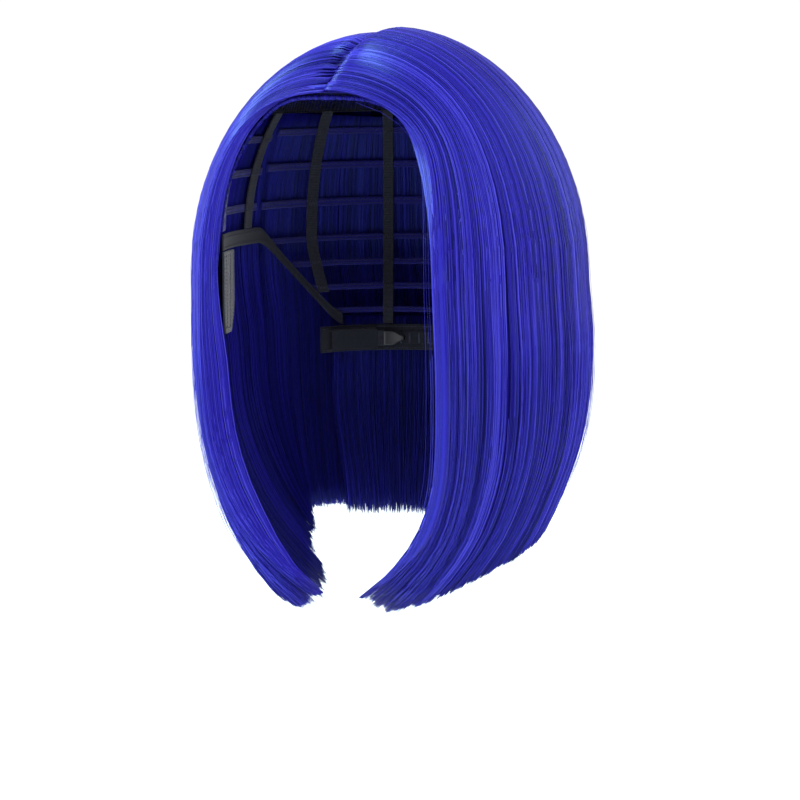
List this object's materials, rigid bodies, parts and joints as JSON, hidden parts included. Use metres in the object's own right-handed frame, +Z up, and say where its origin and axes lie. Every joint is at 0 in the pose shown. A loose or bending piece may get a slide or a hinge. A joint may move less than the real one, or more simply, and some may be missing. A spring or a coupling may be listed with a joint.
{
  "type": "costume wig",
  "caption": "Straight centre-parted bob wig, ends turned under, on a wefted stretch cap with ear tabs and nape adjusters.",
  "frame": {"origin": "inner crown of the cap, where the top of the head touches it", "axes": "+Z up, -Y the way the face looks, +X the wearer's left"},
  "size_m": [0.1882, 0.2018, 0.2729],
  "materials": {
    "hair_outer": "satin synthetic fibre, royal blue",
    "hair_under": "satin synthetic fibre, royal blue in shade",
    "weft_ribbon": "stitched ribbon",
    "parting_base": "matt woven backing",
    "front_edge": "matt folded binding, royal blue in shade",
    "cap_net": "open stretch net",
    "cap_band": "matt stretch binding",
    "cap_felt": "matt felted cloth",
    "elastic": "ribbed elastic",
    "stay": "bare soft strip",
    "hook_plastic": "moulded"
  },
  "bodies": {
    "cap": {"back_hair_left": "hair_outer", "back_hair_right": "hair_outer", "back_rib_1": "elastic", "back_rib_2": "elastic", "back_rib_3": "elastic", "back_rib_4": "elastic", "back_rib_5": "elastic", "back_weft_1": "weft_ribbon", "back_weft_2": "weft_ribbon", "back_weft_3": "weft_ribbon", "back_weft_4": "weft_ribbon", "back_weft_5": "weft_ribbon", "back_weft_6": "weft_ribbon", "back_weft_7": "weft_ribbon", "crown_net": "cap_net", "ear_binding_left": "cap_band", "ear_binding_right": "cap_band", "front_band": "front_edge", "front_hair_left": "hair_outer", "front_hair_right": "hair_outer", "front_piping": "front_edge", "hook_loops_left": "cap_band", "hook_loops_right": "cap_band", "nape_band": "cap_band", "nape_hair_left": "hair_under", "nape_hair_right": "hair_under", "parting_strip": "parting_base", "side_hair_left": "hair_outer", "side_hair_right": "hair_outer", "side_rib_left": "elastic", "side_rib_right": "elastic", "side_weft_left_1": "weft_ribbon", "side_weft_left_2": "weft_ribbon", "side_weft_left_3": "weft_ribbon", "side_weft_right_1": "weft_ribbon", "side_weft_right_2": "weft_ribbon", "side_weft_right_3": "weft_ribbon", "strap_tunnel_left": "cap_band", "strap_tunnel_right": "cap_band", "under_back_left": "hair_under", "under_back_right": "hair_under", "under_front_left": "hair_under", "under_front_right": "hair_under", "under_side_left": "hair_under", "under_side_right": "hair_under"},
    "strap_left": {"adjuster_strap_left": "elastic", "adjuster_hook_left": "hook_plastic"},
    "strap_right": {"adjuster_strap_right": "elastic", "adjuster_hook_right": "hook_plastic"},
    "ear_flap_left": {"ear_tab_left": "cap_felt", "ear_stay_left": "stay"},
    "ear_flap_right": {"ear_tab_right": "cap_felt", "ear_stay_right": "stay"}
  },
  "joints": [
    {"name": "strap_left_slide", "type": "hinge", "parent": "cap", "child": "strap_left", "pos_m": [0, 0.014, -0.1493], "axis": [0, 0, 1], "range_deg": [0, 14]},
    {"name": "ear_tab_left_bend", "type": "hinge", "parent": "cap", "child": "ear_flap_left", "pos_m": [0.06991, -0.03229, -0.0983], "axis": [0.2754, 0.9613, 0], "range_deg": [0, 25]},
    {"name": "strap_right_slide", "type": "hinge", "parent": "cap", "child": "strap_right", "pos_m": [0, 0.014, -0.1493], "axis": [0, 0, -1], "range_deg": [0, 14]},
    {"name": "ear_tab_right_bend", "type": "hinge", "parent": "cap", "child": "ear_flap_right", "pos_m": [-0.06991, -0.03229, -0.0983], "axis": [0.2754, -0.9613, 0], "range_deg": [0, 25]}
  ]
}
